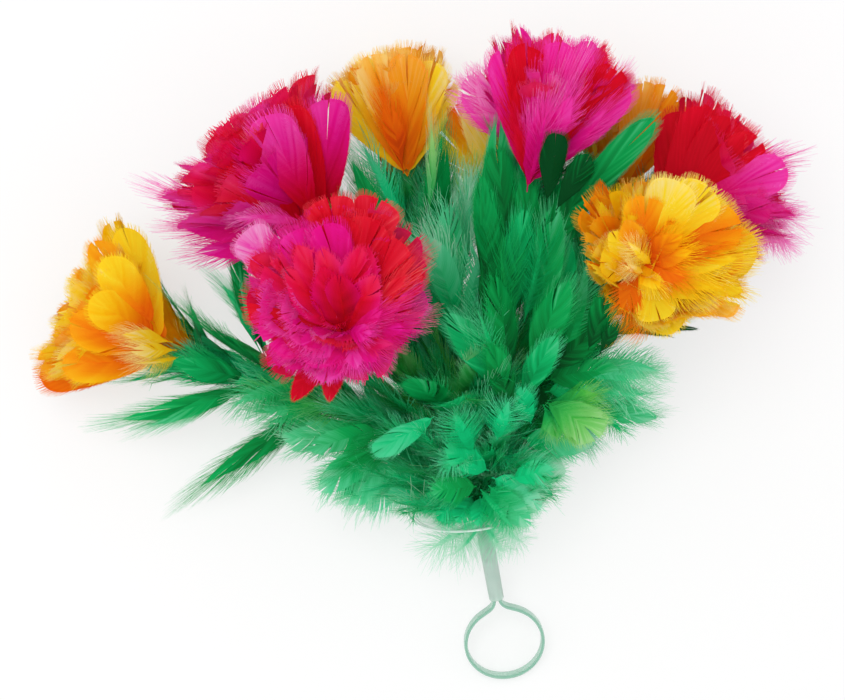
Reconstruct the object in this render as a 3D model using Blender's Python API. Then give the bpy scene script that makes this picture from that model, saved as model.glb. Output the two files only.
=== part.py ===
"""Feather carnation bouquet: nine dyed-feather blooms on wire stems, lying on a table.

A finger ring is clamped in a clear tube. The nine wires run side by side in the
tube, pass through a clear collar and a thread binding, then fan out to the blooms.
Each bloom is a cup of outer petal feathers round a bud of inner petal feathers, and
green feathers wrap its wire. Tufts of down sit on the collar, and long single leaf
feathers stand out of the wraps.

+X is to the right, +Y runs from the ring to the blooms, +Z is up, and the table is
at Z = 0. The origin is on the table, under the middle of the bouquet.
"""

import math

import bmesh
import bpy
from mathutils import Vector
from mathutils.bvhtree import BVHTree

MM = 0.001
GAP = 0.4 * MM  # between pieces that touch on the real bouquet

# Handle
STALK_MIDDLE = Vector((31, -84, 40.35)) * MM  # where the wires cross the collar
STALK_HEADING = math.radians(10.5)  # from +Y towards -X
STALK_TILT = math.radians(20.6)  # nose up, because the ring end rests on the table
WIRE_RADIUS = 0.8 * MM
BUNDLE_RADIUS = 2.45 * MM  # of the circle of outer wires
TUBE_BORE = 3.6 * MM
TUBE_RADIUS_TOP = 4.5 * MM
TUBE_RADIUS_END = 4.1 * MM
TUBE_LENGTH = 57 * MM
WIRES_IN_TUBE = 34 * MM
COLLAR_RADIUS = 39 * MM
COLLAR_THICKNESS = 1.2 * MM
COLLAR_DISH = 5 * MM  # how far the rim stands above the middle
BINDING_LENGTH = 13 * MM
BINDING_RADIUS = 5.2 * MM

# Finger ring
RING_WIDTH = 45 * MM
RING_LENGTH = 50 * MM  # from the tube to the far side
STRIP_WIDTH = 6 * MM
STRIP_THICKNESS = 2.0 * MM
SHANK_LENGTH = 19 * MM

# Down tufts round the binding, from the right of the stalk over its top to the left
TUFT_REACHES = (56, 62, 84, 52, 42, 52)  # mm, one for each tuft
TUFT_HEIGHT = 34 * MM

# Leaf feathers
LEAF_THICKNESS = 1.2 * MM

# Blooms
NECK_RADIUS = 4.2 * MM
PETAL_WALL = 3.0 * MM
OUTER_LOBES = 10
INNER_LOBES = 6
WIRE_IN_BLOOM = 7 * MM
BUD_START = WIRE_IN_BLOOM + GAP
WIRE_HOLE = WIRE_RADIUS + GAP

GREEN = (0.02, 0.42, 0.16)
DARK_GREEN = (0.01, 0.25, 0.08)
PALE_GREEN = (0.35, 0.75, 0.50)
CLEAR_GREEN = (0.55, 0.75, 0.66)
DYES = {
    "yellow": (0.95, 0.62, 0.04),
    "orange": (0.90, 0.30, 0.02),
    "red": (0.70, 0.01, 0.04),
    "magenta": (0.85, 0.03, 0.30),
}


class Bloom:
    """One feather flower. base and rim are the centres of its neck and of its open rim."""

    def __init__(self, name, base, rim, radius, outer, inner, leave, arrive, wrap):
        self.name = name
        self.base = Vector(base) * MM
        self.rim = Vector(rim) * MM
        self.radius = radius * MM
        self.outer = outer
        self.inner = inner
        self.leave = leave * MM  # how far the wire keeps the stalk's direction
        self.arrive = arrive * MM  # how far it runs in the bloom's direction
        self.wrap = wrap * MM  # radius of the green feathers round the wire
        self.height = (self.rim - self.base).length
        self.axis = (self.rim - self.base).normalized()
        self.side = self.axis.cross(Vector((0, 0, 1)))
        if self.side.length < 0.3:
            self.side = self.axis.cross(Vector((0, 1, 0)))
        self.side.normalize()
        self.back = self.side.cross(self.axis)

    def at(self, radius, angle, height):
        """The point that far from the bloom's axis, and that far along it."""
        outwards = self.side * math.cos(angle) + self.back * math.sin(angle)
        return self.base + self.axis * height + outwards * radius


BLOOMS = (
    Bloom("far_left", (-126, -1, 37), (-187, 28, 41), 50, "yellow", "orange", 30, 46, 15),
    Bloom("left_red", (-49, 56, 62), (-99, 112, 78), 57, "red", "magenta", 34, 40, 15),
    Bloom("top_left", (-8, 87, 33), (-19, 156, 29), 36, "orange", "yellow", 30, 40, 14),
    Bloom("centre_back", (48, 79, 28), (44, 132, 24), 30, "yellow", "orange", 26, 34, 13),
    Bloom("top_red", (54, 82, 82), (72, 150, 106), 41, "red", "magenta", 50, 40, 15),
    Bloom("back_right", (104, 76, 28), (110, 138, 26), 33, "orange", "yellow", 26, 34, 13),
    Bloom("right_red", (118, 62, 56), (175, 99, 62), 51, "magenta", "red", 34, 40, 14),
    Bloom("right_front", (107, 31, 82), (124, 46, 142), 47, "yellow", "orange", 40, 30, 14),
    Bloom("front_red", (-41, 20, 72), (-43, 27, 138), 50, "magenta", "red", 40, 30, 14),
)

LEAVES = (
    # name, root near a wrap, where it bends, tip, width; all in mm
    ("leaf_low_left", (-58, -34, 34), (-100, -58, 30), (-141, -84, 14), 17),
    ("leaf_left_tip", (-100, -20, 40), (-142, -34, 34), (-181, -44, 20), 16),
    ("leaf_left_upper", (-84, -8, 54), (-110, 8, 66), (-140, 34, 84), 17),
    ("leaf_left_inner", (-52, -8, 40), (-80, 18, 44), (-105, 58, 34), 14),
    ("leaf_top_left_outer", (-18, 58, 52), (-30, 84, 56), (-44, 112, 52), 15),
    ("leaf_top_left_inner", (4, 58, 52), (10, 88, 66), (10, 124, 74), 16),
    ("leaf_top_red_left", (30, 46, 84), (32, 84, 98), (34, 122, 104), 18),
    ("leaf_top_red_right", (60, 56, 84), (86, 90, 108), (110, 124, 116), 20),
    ("leaf_right", (92, 8, 60), (120, 12, 62), (148, 10, 56), 12),
    ("leaf_right_low", (76, -26, 44), (106, -32, 42), (136, -30, 32), 20),
    ("leaf_low_right", (56, -14, 54), (78, -32, 60), (99, -52, 50), 18),
    ("leaf_low_front", (0, -36, 66), (-24, -50, 74), (-58, -66, 64), 18),
)


# ---------------------------------------------------------------- helpers


def clear_scene():
    for obj in list(bpy.data.objects):
        bpy.data.objects.remove(obj)


def material(name, colour, roughness=0.6, alpha=1.0):
    made = bpy.data.materials.get(name)
    if made is None:
        made = bpy.data.materials.new(name)
        made.use_nodes = True
        shader = made.node_tree.nodes["Principled BSDF"]
        shader.inputs["Base Color"].default_value = (*colour, 1)
        shader.inputs["Roughness"].default_value = roughness
        shader.inputs["Alpha"].default_value = alpha
    return made


def loft(name, rings, skin, looped=False):
    """A closed solid through rings of points. The last ring joins the first if looped."""
    mesh = bmesh.new()
    rows = [[mesh.verts.new(point) for point in ring] for ring in rings]
    count = len(rows[0])
    pairs = list(zip(rows, rows[1:]))
    if looped:
        pairs.append((rows[-1], rows[0]))
    for low, high in pairs:
        for i in range(count):
            j = (i + 1) % count
            mesh.faces.new((low[i], low[j], high[j], high[i]))
    if not looped:
        mesh.faces.new(rows[0])
        mesh.faces.new(rows[-1])
    bmesh.ops.triangulate(mesh, faces=mesh.faces)
    bmesh.ops.recalc_face_normals(mesh, faces=mesh.faces)
    data = bpy.data.meshes.new(name)
    mesh.to_mesh(data)
    mesh.free()
    data.shade_smooth()
    data.set_sharp_from_angle(angle=math.radians(40))
    data.materials.append(skin)
    made = bpy.data.objects.new(name, data)
    bpy.context.scene.collection.objects.link(made)
    return made


def surface_of(obj):
    """A search tree of an object's faces, in world space."""
    mesh = bmesh.new()
    mesh.from_mesh(obj.data)
    tree = BVHTree.FromBMesh(mesh)
    mesh.free()
    return tree


def bezier(a, b, c, d, steps):
    points = []
    for i in range(steps + 1):
        t = i / steps
        s = 1 - t
        points.append(a * s**3 + b * (3 * s * s * t) + c * (3 * s * t * t) + d * t**3)
    return points


def frames_along(points, start_side):
    """(point, side, up) at each point of a path, turned as little as possible."""
    frames = []
    side = start_side
    for i, point in enumerate(points):
        ahead = points[min(i + 1, len(points) - 1)]
        behind = points[max(i - 1, 0)]
        tangent = (ahead - behind).normalized()
        side = (side - tangent * side.dot(tangent)).normalized()
        frames.append((point, side, tangent.cross(side)))
    return frames


def circle(frame, radius, sides):
    point, side, up = frame
    turn = 2 * math.pi / sides
    return [
        point + side * (radius * math.cos(i * turn)) + up * (radius * math.sin(i * turn))
        for i in range(sides)
    ]


# ---------------------------------------------------------------- handle

STALK = Vector(
    (
        -math.sin(STALK_HEADING) * math.cos(STALK_TILT),
        math.cos(STALK_HEADING) * math.cos(STALK_TILT),
        math.sin(STALK_TILT),
    )
)
STALK_SIDE = STALK.cross(Vector((0, 0, 1))).normalized()
STALK_UP = STALK_SIDE.cross(STALK)


def on_stalk(along, radius=0.0, angle=0.0):
    """The point that far along the stalk from its middle, and that far off its axis."""
    outwards = STALK_SIDE * math.cos(angle) + STALK_UP * math.sin(angle)
    return STALK_MIDDLE + STALK * along + outwards * radius


def turned(name, profile, sides, skin):
    """A solid turned about the stalk from a closed profile of (radius, along) pairs."""
    turn = 2 * math.pi / sides
    rings = [
        [on_stalk(along, radius, i * turn) for i in range(sides)]
        for radius, along in profile
    ]
    return loft(name, rings, skin, looped=True)


def make_handle():
    clear = material("clear_tube", CLEAR_GREEN, 0.25, 0.6)
    thread = material("green_thread", DARK_GREEN, 0.8)
    end = -TUBE_LENGTH
    top = -COLLAR_THICKNESS - GAP
    lip = 1.2 * MM
    tube = [
        (TUBE_BORE, top),
        (TUBE_RADIUS_TOP - lip / 2, top),
        (TUBE_RADIUS_TOP, top - lip),
        (TUBE_RADIUS_END, end + lip),
        (TUBE_RADIUS_END - lip / 3, end),
        (TUBE_BORE, end),
    ]
    turned("handle_tube", tube, 20, clear)
    hole = TUBE_BORE
    collar = [
        (hole, -COLLAR_THICKNESS),
        (hole, 0),
        (COLLAR_RADIUS * 0.55, COLLAR_DISH * 0.25),
        (COLLAR_RADIUS, COLLAR_DISH),
        (COLLAR_RADIUS, COLLAR_DISH - COLLAR_THICKNESS),
        (COLLAR_RADIUS * 0.55, COLLAR_DISH * 0.25 - COLLAR_THICKNESS),
    ]
    turned("clear_collar", collar, 28, clear)
    binding = [
        (TUBE_BORE, GAP),
        (BINDING_RADIUS - 0.8 * MM, GAP),
        (BINDING_RADIUS, 2 * MM),
        (BINDING_RADIUS, BINDING_LENGTH - 2 * MM),
        (BINDING_RADIUS - 0.8 * MM, BINDING_LENGTH),
        (TUBE_BORE, BINDING_LENGTH),
    ]
    turned("thread_binding", binding, 16, thread)


def ring_path():
    """The strip's centreline in the ring's plane, as (across, along) from the tube's end."""
    half = RING_WIDTH / 2 - STRIP_THICKNESS / 2
    middle = -RING_LENGTH + RING_WIDTH / 2
    shank = STRIP_THICKNESS / 2 + GAP / 2
    shoulder = math.radians(62)  # where the round part gives way to the neck
    steps = 22
    sweep = 2 * math.pi - 2 * (math.pi / 2 - shoulder)
    loop = []
    for i in range(steps + 1):
        angle = shoulder - sweep * i / steps
        loop.append((half * math.cos(angle), middle + half * math.sin(angle)))
    neck = [(shank, SHANK_LENGTH), (shank, 2 * MM), (shank * 1.4, -1.2 * MM)]
    mirrored = [(-across, along) for across, along in reversed(neck)]
    return neck + loop + mirrored


def make_ring():
    plane_side = STALK_SIDE
    plane_up = STALK_UP
    path = [
        STALK_MIDDLE + STALK * (along - TUBE_LENGTH) + plane_side * across
        for across, along in ring_path()
    ]
    rings = []
    for i, point in enumerate(path):
        ahead = path[min(i + 1, len(path) - 1)]
        behind = path[max(i - 1, 0)]
        tangent = (ahead - behind).normalized()
        thick = tangent.cross(plane_up) * (STRIP_THICKNESS / 2)
        in_tube = i < 2 or i >= len(path) - 2
        wide = plane_up * (STRIP_WIDTH / 2) * (0.8 if in_tube else 1)
        edge = 0.7
        rings.append(
            [
                point + thick * edge + wide,
                point + thick + wide * edge,
                point + thick - wide * edge,
                point + thick * edge - wide,
                point - thick * edge - wide,
                point - thick - wide * edge,
                point - thick + wide * edge,
                point - thick * edge + wide,
            ]
        )
    loft("finger_ring", rings, material("ring_plastic", CLEAR_GREEN, 0.3))


# ---------------------------------------------------------------- blooms


def floored(point, height):
    """The point, or the one above it at that height where the table presses it up."""
    return Vector((point.x, point.y, max(point.z, height)))


def cup_radius(bloom, t):
    return NECK_RADIUS + (bloom.radius - NECK_RADIUS) * (1.2 * t - 0.2 * t * t)


def make_outer_petals(bloom):
    """A cup of round-ended petals, with a hole in its floor for the wire."""
    columns = OUTER_LOBES * 4
    notch = 0.14

    def ring(t, inset, lift, floor):
        points = []
        for i in range(columns):
            angle = 2 * math.pi * i / columns
            lobe = abs(math.cos(OUTER_LOBES * angle / 2))
            share = t * (1 - notch * (1 - lobe) * t)
            radius = max(cup_radius(bloom, share) - inset, WIRE_HOLE)
            height = bloom.height * share + lift
            points.append(floored(bloom.at(radius, angle, height), floor))
        return points

    walls = (0.0, 0.4, 0.7, 0.88, 1.0)
    outer = [ring(t, 0, 0, 0) for t in walls]
    inner = [ring(t, PETAL_WALL, 0, PETAL_WALL) for t in reversed(walls[1:])]
    floor = [ring(0.0, NECK_RADIUS, 2.5 * MM, PETAL_WALL), ring(0.0, NECK_RADIUS, 0, 0)]
    skin = material("petals_" + bloom.outer, DYES[bloom.outer])
    return loft(f"{bloom.name}_outer_petals", outer + inner + floor, skin, looped=True)


def make_inner_petals(bloom):
    """The bud of inner petals, which sits on the wire's tip inside the cup."""
    columns = INNER_LOBES * 4
    profile = (
        # share of the bud's height, share of the room inside the cup
        (0.00, 0.30),
        (0.30, 0.55),
        (0.65, 0.66),
        (0.86, 0.66),
        (0.97, 0.48),
        (1.00, 0.20),
    )
    floor = PETAL_WALL + 2 * GAP
    top = bloom.height * 1.04
    rings = []
    for t, fill in profile:
        height = BUD_START + (top - BUD_START) * t
        room = cup_radius(bloom, min(1.0, height / bloom.height)) - PETAL_WALL
        points = []
        for i in range(columns):
            angle = 2 * math.pi * i / columns
            lobe = abs(math.cos(INNER_LOBES * angle / 2))
            ripple = 1 - 0.22 * (1 - lobe) * t
            point = bloom.at(room * fill * ripple, angle, height - (1 - lobe) * t * 5 * MM)
            points.append(floored(point, floor))
        rings.append(points)
    skin = material("petals_" + bloom.inner, DYES[bloom.inner])
    return loft(f"{bloom.name}_inner_petals", rings, skin)


# ---------------------------------------------------------------- wires and their wraps


def bundle_places():
    """Where each bloom's wire lies in the bundle: one in the middle, the rest round it."""
    middle = next(bloom for bloom in BLOOMS if bloom.name == "top_red")
    hub = on_stalk(BINDING_LENGTH)

    def bearing(bloom):
        way = bloom.base - hub
        return math.atan2(way.dot(STALK_UP), way.dot(STALK_SIDE)) % (2 * math.pi)

    outer = sorted((b for b in BLOOMS if b is not middle), key=bearing)
    step = 2 * math.pi / len(outer)
    first = sum(bearing(b) - i * step for i, b in enumerate(outer)) / len(outer)
    places = {middle.name: (0.0, 0.0)}
    for i, bloom in enumerate(outer):
        places[bloom.name] = (BUNDLE_RADIUS, first + i * step)
    return places


def wire_path(bloom, place):
    radius, angle = place
    start = on_stalk(-WIRES_IN_TUBE, radius, angle)
    leave = on_stalk(BINDING_LENGTH, radius, angle)
    bend = leave + STALK * bloom.leave
    approach = bloom.base - bloom.axis * bloom.arrive
    curve = bezier(leave, bend, approach, bloom.base, 12)
    return [start] + curve + [bloom.base + bloom.axis * WIRE_IN_BLOOM]


def make_wires():
    steel = material("wire", DARK_GREEN, 0.5)
    places = bundle_places()
    paths = {}
    for bloom in BLOOMS:
        path = wire_path(bloom, places[bloom.name])
        rings = [circle(f, WIRE_RADIUS, 6) for f in frames_along(path, STALK_SIDE)]
        loft(f"{bloom.name}_wire", rings, steel)
        paths[bloom.name] = path
    return paths


def distance_to_path(point, path):
    nearest = 1.0
    for a, b in zip(path, path[1:]):
        along = b - a
        t = max(0.0, min(1.0, (point - a).dot(along) / along.length_squared))
        nearest = min(nearest, (point - a - along * t).length)
    return nearest


def make_wraps(paths, obstacles):
    """The green feathers round each wire, as wide as the room beside them allows."""
    skin = material("green_feather", GREEN)
    wraps = []
    for bloom in BLOOMS:
        others = [paths[b.name] for b in BLOOMS if b is not bloom]

        def room(point):
            beside = min(distance_to_path(point, path) for path in others) / 2
            near = min(
                tree.find_nearest(point)[3]
                for owner, tree in obstacles
                if owner != bloom.name
            )
            return min(beside, near - 2 * GAP, point.z) - GAP

        stations = [point for point in paths[bloom.name][1:-2] if room(point) > 3 * MM]
        stations.append(stations[-1].lerp(bloom.base, 0.7))
        frames = frames_along(stations, STALK_SIDE)
        between = [room(a.lerp(b, 0.5)) for a, b in zip(stations, stations[1:])]
        between = [between[0]] + between + [between[-1]]
        radii = []
        for i, point in enumerate(stations):
            t = i / (len(stations) - 1)
            swell = 0.45 + 0.55 * math.sin(math.pi * min(1.0, 0.2 + 0.95 * t))
            widest = min(bloom.wrap * swell, room(point), between[i], between[i + 1])
            radii.append(max(widest, WIRE_HOLE + MM))
        outside = [circle(f, r, 8) for f, r in zip(frames, radii)]
        bore = [circle(f, WIRE_HOLE, 8) for f in reversed(frames)]
        made = loft(f"{bloom.name}_leaf_wrap", outside + bore, skin, looped=True)
        wraps.append(surface_of(made))
    return wraps


# ---------------------------------------------------------------- leaf feathers


def make_leaves(wraps):
    """Single feathers, each with its quill's end against the nearest wrap."""
    skin = material("green_feather", GREEN)
    quill = LEAF_THICKNESS / 2
    shares = (0.0, 0.6, 1.0, 0.9, 0.55, 0.12)
    for name, root, bend, tip, width in LEAVES:
        root, bend, tip = (Vector(point) * MM for point in (root, bend, tip))
        wrap = min((tree.find_nearest(root) for tree in wraps), key=lambda hit: hit[3])
        away = wrap[1]
        start = wrap[0] + away * (GAP + quill)
        first = start.lerp(bend, 0.5) + away * 5 * MM
        path = bezier(start, first, tip.lerp(bend, 0.6), tip, len(shares) - 1)
        rings = []
        for share, frame in zip(shares, frames_along(path, Vector((0, 0, 1)).cross(tip - start))):
            point, side, up = frame
            half = side * max(quill, width * MM / 2 * share)
            thick = up * quill
            rings.append(
                [
                    floored(point - half, quill),
                    floored(point - thick, 0),
                    floored(point + half, quill),
                    floored(point + thick, 2 * quill),
                ]
            )
        loft(name, rings, skin)


# ---------------------------------------------------------------- down tufts


def make_tufts():
    """Wedges of down round the binding, which lie on the collar and on the table."""
    skin = material("down", PALE_GREEN, 0.9)
    half = math.pi / len(TUFT_REACHES)
    stations = (
        # share of the reach, underside along the stalk, top along the stalk
        (0.10, 1.6 * MM, BINDING_LENGTH),
        (0.25, 3.0 * MM, TUFT_HEIGHT * 0.62),
        (0.55, 6.0 * MM, TUFT_HEIGHT),
        (0.85, 9.0 * MM, TUFT_HEIGHT * 0.85),
        (1.00, 13 * MM, TUFT_HEIGHT * 0.55),
    )
    trees = []
    for k, reach in enumerate(TUFT_REACHES):
        middle = 2 * math.pi * k / len(TUFT_REACHES) + half
        rings = []
        for share, low, high in stations:
            radius = max(reach * MM * share, (BINDING_RADIUS + GAP) / math.cos(half))
            spread = half - 1.2 * GAP / radius
            points = []
            for along, shares in ((low, (-1, -0.5, 0, 0.5, 1)), (high, (1, 0.5, 0, -0.5, -1))):
                for s in shares:
                    point = on_stalk(along, radius, middle + spread * s)
                    points.append(floored(point, 0 if along == low else 6 * MM))
            rings.append(points)
        made = loft(f"down_tuft_{k + 1}", rings, skin)
        trees.append(surface_of(made))
    return trees


# ---------------------------------------------------------------- whole


def centre_on_origin():
    """Moves everything sideways so that the origin is under the middle of the bouquet."""
    corners = [
        obj.matrix_world @ vertex.co
        for obj in bpy.data.objects
        for vertex in obj.data.vertices
    ]
    xs = [corner.x for corner in corners]
    ys = [corner.y for corner in corners]
    middle = Vector(((min(xs) + max(xs)) / 2, (min(ys) + max(ys)) / 2, 0))
    for obj in bpy.data.objects:
        obj.location -= middle


def main():
    clear_scene()
    make_handle()
    make_ring()
    obstacles = [("", tree) for tree in make_tufts()]
    for bloom in BLOOMS:
        obstacles.append((bloom.name, surface_of(make_outer_petals(bloom))))
        make_inner_petals(bloom)
    paths = make_wires()
    make_leaves(make_wraps(paths, obstacles))
    centre_on_origin()


main()
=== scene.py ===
"""The looks of the feather carnation bouquet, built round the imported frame.

Every feather has a curved midline, a shaft, a closed vane that parts into clumps, and its
barbs' free ends. Down and fluff are thin wavy strands. A feather's colour is its place on
a small palette map, named OFBake: the first direction is tone, from dark to pale, and the
second is hue.
"""

import math
from dataclasses import dataclass, replace

import bpy
import numpy as np
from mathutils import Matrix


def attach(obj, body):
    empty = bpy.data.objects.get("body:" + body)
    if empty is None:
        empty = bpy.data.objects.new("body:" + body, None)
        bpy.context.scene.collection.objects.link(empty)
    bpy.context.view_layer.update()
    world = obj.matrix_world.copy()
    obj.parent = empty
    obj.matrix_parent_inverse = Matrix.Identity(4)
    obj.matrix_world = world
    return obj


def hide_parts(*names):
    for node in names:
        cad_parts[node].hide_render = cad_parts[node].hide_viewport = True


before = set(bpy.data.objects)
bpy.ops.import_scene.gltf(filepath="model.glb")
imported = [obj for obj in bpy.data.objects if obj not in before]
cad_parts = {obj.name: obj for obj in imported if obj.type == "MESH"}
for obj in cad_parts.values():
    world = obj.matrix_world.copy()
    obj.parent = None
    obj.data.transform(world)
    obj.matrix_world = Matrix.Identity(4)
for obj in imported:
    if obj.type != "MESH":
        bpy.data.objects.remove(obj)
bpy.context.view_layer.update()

MM = 0.001
TAU = 2 * math.pi
MAP = "OFBake"
rng = np.random.default_rng(11)


# ---- the frame's numbers

# These repeat the CAD's own values. SHIFT is how far the CAD was moved to centre it. Places
# along the stalk start at the collar, and rise towards the blooms.
SHIFT = np.array((2.85, 8.80, 0.0)) * MM
STALK_HEADING = math.radians(10.5)
STALK_TILT = math.radians(20.6)
BINDING_LENGTH = 13 * MM
BUNDLE_RADIUS = 2.45 * MM
TUBE_LENGTH = 57 * MM
TUBE_RADIUS_TOP = 4.5 * MM
TUBE_RADIUS_END = 4.1 * MM
TUBE_BORE = 3.6 * MM
COLLAR_RADIUS = 39 * MM
COLLAR_DISH = 5 * MM
COLLAR_THICKNESS = 1.2 * MM
RING_WIDTH = 45 * MM
RING_LENGTH = 50 * MM
STRIP_WIDTH = 6 * MM
STRIP_THICKNESS = 2 * MM
SHANK_LENGTH = 19 * MM
NECK_RADIUS = 4.2 * MM
GAP = 0.4 * MM

STALK = np.array(
    (
        -math.sin(STALK_HEADING) * math.cos(STALK_TILT),
        math.cos(STALK_HEADING) * math.cos(STALK_TILT),
        math.sin(STALK_TILT),
    )
)


def here(x, y, z):
    """A point given in the CAD's own millimetres."""
    return np.array((x, y, z), float) * MM + SHIFT


def unit(vector):
    vector = np.asarray(vector, float)
    return vector / np.maximum(np.linalg.norm(vector, axis=-1, keepdims=True), 1e-12)


STALK_MIDDLE = here(31, -84, 40.35)
STALK_SIDE = unit(np.cross(STALK, (0, 0, 1)))
STALK_UP = np.cross(STALK_SIDE, STALK)


def round_stalk(angle):
    return STALK_SIDE * math.cos(angle) + STALK_UP * math.sin(angle)


def on_stalk(along, radius=0.0, angle=0.0):
    return STALK_MIDDLE + STALK * along + round_stalk(angle) * radius


EVEN = (0, 0, 0)  # for a bloom that is alike all round


class Bloom:
    """One feather flower, with its wire. base and rim are in the CAD's millimetres."""

    def __init__(
        self, name, base, rim, radius, leave, arrive, place, dyes, slots, second, share, trim=EVEN
    ):
        self.name = name
        self.trim = np.array(trim, float)  # where its petals are shorter
        self.base = here(*base)
        self.rim = here(*rim)
        self.radius = radius * MM
        self.height = float(np.linalg.norm(self.rim - self.base))
        self.axis = unit(self.rim - self.base)
        up = (0, 0, 1) if abs(self.axis[2]) < 0.9 else (0, 1, 0)
        self.side = unit(np.cross(self.axis, up))
        self.back = np.cross(self.side, self.axis)
        self.spread = math.atan((self.radius - NECK_RADIUS) / self.height)
        self.dyes = dyes
        self.slots = slots
        self.second = np.array(second, float)  # where the second dye gathers
        self.share = share  # how much of the bloom has it
        off = BUNDLE_RADIUS if place is not None else 0.0
        start = on_stalk(BINDING_LENGTH, off, math.radians(place or 0))
        bend = start + STALK * leave * MM
        approach = self.base - self.axis * arrive * MM
        self.wire = (start, bend, approach, self.base)

    def outwards(self, angle):
        return self.side * math.cos(angle) + self.back * math.sin(angle)

    def on_wire(self, t):
        """The point at t along the wire, 0 at the binding and 1 at the neck, and its direction."""
        a, b, c, d = self.wire
        s = 1 - t
        point = a * s**3 + b * 3 * s * s * t + c * 3 * s * t * t + d * t**3
        way = (b - a) * s * s + (c - b) * 2 * s * t + (d - c) * t * t
        return point, unit(way)

    def wire_length(self):
        points = np.array([self.on_wire(t)[0] for t in np.linspace(0, 1, 30)])
        return float(np.linalg.norm(np.diff(points, axis=0), axis=1).sum())


YELLOW_FIRST = ("petals_yellow", "petals_orange")
ORANGE_FIRST = ("petals_orange", "petals_yellow")
RED_FIRST = ("petals_red", "petals_magenta")
MAGENTA_FIRST = ("petals_magenta", "petals_red")

# name, base, rim and radius; how far the wire runs straight at each end, and its place
# in the bundle; dyes and slots; where the second dye gathers, its share, and the trim
BLOOMS = (
    Bloom("far_left", (-126, -1, 37), (-187, 28, 41), 50,
          30, 46, 163, "warm", YELLOW_FIRST, (-0.2, 0.4, 0.4), 0.6),
    Bloom("left_red", (-49, 56, 62), (-99, 112, 78), 57,
          34, 40, 208, "hot", RED_FIRST, (-0.5, -0.2, 0), 0.3),
    Bloom("top_left", (-8, 87, 33), (-19, 156, 29), 36,
          30, 40, 253, "warm", ORANGE_FIRST, (0, 0, -0.9), 0.45),
    Bloom("centre_back", (48, 79, 28), (44, 132, 24), 30,
          26, 34, 298, "warm", YELLOW_FIRST, (0.5, 0, 0), 0.6),
    Bloom("top_red", (54, 82, 82), (72, 150, 106), 41,
          50, 40, None, "hot", RED_FIRST, EVEN, 0.6),
    Bloom("back_right", (104, 76, 28), (110, 138, 26), 33,
          26, 34, 343, "warm", ORANGE_FIRST, EVEN, 0.15),
    Bloom("right_red", (118, 62, 56), (175, 99, 62), 51,
          34, 40, 28, "hot", MAGENTA_FIRST, (0.6, -0.8, 0), 0.4),
    Bloom("right_front", (107, 31, 82), (124, 46, 142), 47,
          40, 30, 73, "warm", YELLOW_FIRST, (0.3, 0.6, 0), 0.6, (-0.05, -0.42, 0)),
    Bloom("front_red", (-41, 20, 72), (-43, 27, 138), 50,
          40, 30, 118, "hot", MAGENTA_FIRST, (-0.3, -0.3, 0), 0.45, (0.12, -0.12, 0)),
)


# ---- materials


def colour(red, green, blue, alpha=1.0):
    """A colour as a screen shows it, from 0 to 255, as the linear values that nodes take."""
    linear = []
    for value in (red, green, blue):
        value /= 255
        linear.append(value / 12.92 if value <= 0.04045 else ((value + 0.055) / 1.055) ** 2.4)
    return (*linear, alpha)


def node(tree, kind, inputs=None, **settings):
    """A shader node. inputs maps its sockets to values, or to the outputs that feed them."""
    made = tree.nodes.new("ShaderNode" + kind)
    for name, value in settings.items():
        setattr(made, name, value)
    feed(tree, made, inputs or {})
    return made


def feed(tree, made, inputs):
    for socket, value in inputs.items():
        if isinstance(value, bpy.types.NodeSocket):
            tree.links.new(value, made.inputs[socket])
        else:
            made.inputs[socket].default_value = value


def new_material(name):
    """A material whose surface is one Principled BSDF."""
    made = bpy.data.materials.new(name)
    made.use_nodes = True
    tree = made.node_tree
    tree.nodes.clear()
    shader = node(tree, "BsdfPrincipled")
    output = node(tree, "OutputMaterial", {"Surface": shader.outputs[0]})
    return made, tree, shader, output


def blend_in(tree, shader, output, share, other):
    """Mixes a share of another shader into the surface."""
    both = node(tree, "MixShader", {"Fac": share, 1: shader.outputs[0], 2: other.outputs[0]})
    feed(tree, output, {"Surface": both.outputs[0]})


def ramp(tree, factor, colours):
    """A colour ramp through evenly spaced colours."""
    made = node(tree, "ValToRGB", {"Fac": factor})
    stops = made.color_ramp.elements
    while len(stops) < len(colours):
        stops.new(0.5)
    for i, (stop, tint) in enumerate(zip(stops, colours)):
        stop.position = i / (len(colours) - 1)
        stop.color = colour(*tint)
    return made.outputs["Color"]


def band(tree, value, start, end):
    inputs = {"Value": value, "From Min": start, "From Max": end}
    return node(tree, "MapRange", inputs).outputs["Result"]


def noise(tree, scale, detail=3.0):
    """Noise over the object's own space, in features about 1 / scale metres wide."""
    space = node(tree, "TexCoord").outputs["Object"]
    inputs = {"Scale": scale, "Detail": detail, "Vector": space}
    return node(tree, "TexNoise", inputs).outputs["Fac"]


def bump(tree, scale, strength):
    inputs = {"Strength": strength, "Distance": 0.2 * MM, "Height": noise(tree, scale)}
    return node(tree, "Bump", inputs).outputs["Normal"]


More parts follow.
